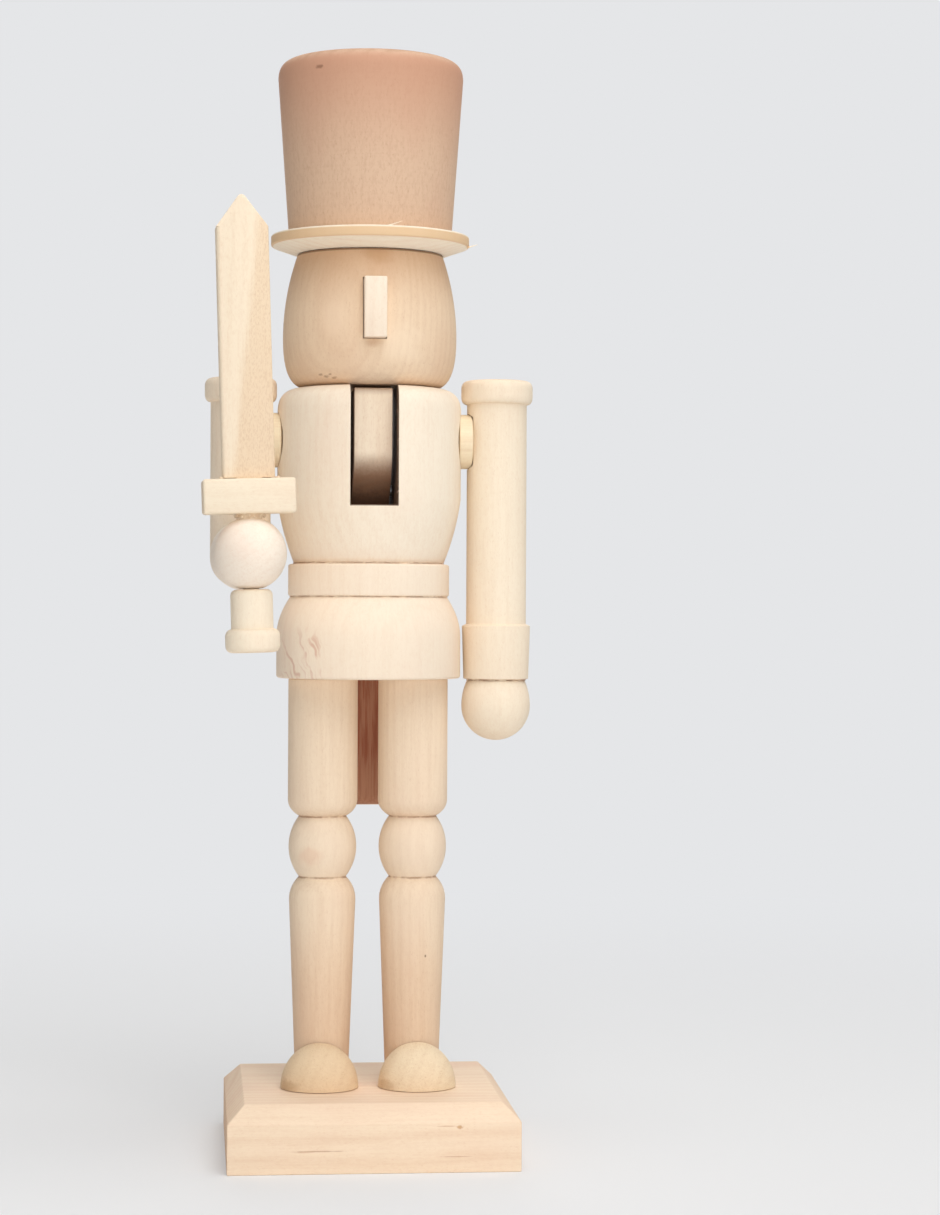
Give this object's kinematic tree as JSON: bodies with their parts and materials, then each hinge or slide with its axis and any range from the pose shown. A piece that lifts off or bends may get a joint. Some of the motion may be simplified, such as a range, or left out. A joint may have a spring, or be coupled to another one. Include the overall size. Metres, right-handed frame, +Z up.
{
  "type": "nutcracker soldier",
  "caption": "Bare-wood nutcracker soldier on a chamfered block, with a tall hat, a sword, arms that turn at the shoulder and a jaw worked by a lever at the back.",
  "frame": {"origin": "middle of the base block's underside", "axes": "+Z up along the figure, -Y the way the soldier faces, +X towards the soldier's left arm"},
  "size_m": [0.0708, 0.0723, 0.2312],
  "materials": {
    "pale_wood": "bare sanded",
    "tan_wood": "bare sanded",
    "hat_wood": "bare sanded",
    "base_wood": "bare sanded, open grain",
    "dowel_wood": "bare turned",
    "steel": "drawn wire"
  },
  "bodies": {
    "figure": {"base": "base_wood", "left_leg": "pale_wood", "right_leg": "pale_wood", "left_foot": "tan_wood", "right_foot": "tan_wood", "left_ankle_dowel": "dowel_wood", "right_ankle_dowel": "dowel_wood", "left_hip_dowel": "dowel_wood", "right_hip_dowel": "dowel_wood", "torso": "pale_wood", "jaw_pin": "steel", "left_neck_dowel": "dowel_wood", "right_neck_dowel": "dowel_wood", "head": "tan_wood", "nose": "pale_wood", "hat_brim": "pale_wood", "hat_crown": "hat_wood", "hat_dowel": "dowel_wood"},
    "jaw": {"jaw_lever": "tan_wood"},
    "left_arm": {"left_arm": "pale_wood", "left_shoulder_dowel": "dowel_wood", "left_shoulder_spacer": "pale_wood"},
    "sword_arm": {"right_upper_arm": "pale_wood", "right_shoulder_dowel": "dowel_wood", "right_shoulder_spacer": "pale_wood", "right_forearm": "pale_wood", "elbow_dowel": "dowel_wood", "sword_guard": "pale_wood", "sword_blade": "pale_wood", "sword_grip": "pale_wood", "sword_dowel": "dowel_wood"}
  },
  "joints": [
    {"name": "jaw_hinge", "type": "hinge", "parent": "figure", "child": "jaw", "pos_m": [0, 0.003, 0.14], "axis": [1, 0, 0], "range_deg": [0, 30]},
    {"name": "left_shoulder", "type": "hinge", "parent": "figure", "child": "left_arm", "pos_m": [0.02735, 0, 0.1505], "axis": [-1, 0, 0], "range_deg": [-150, 150]},
    {"name": "right_shoulder", "type": "hinge", "parent": "figure", "child": "sword_arm", "pos_m": [-0.02735, 0, 0.1505], "axis": [-1, 0, 0], "range_deg": [-35, 90]}
  ]
}
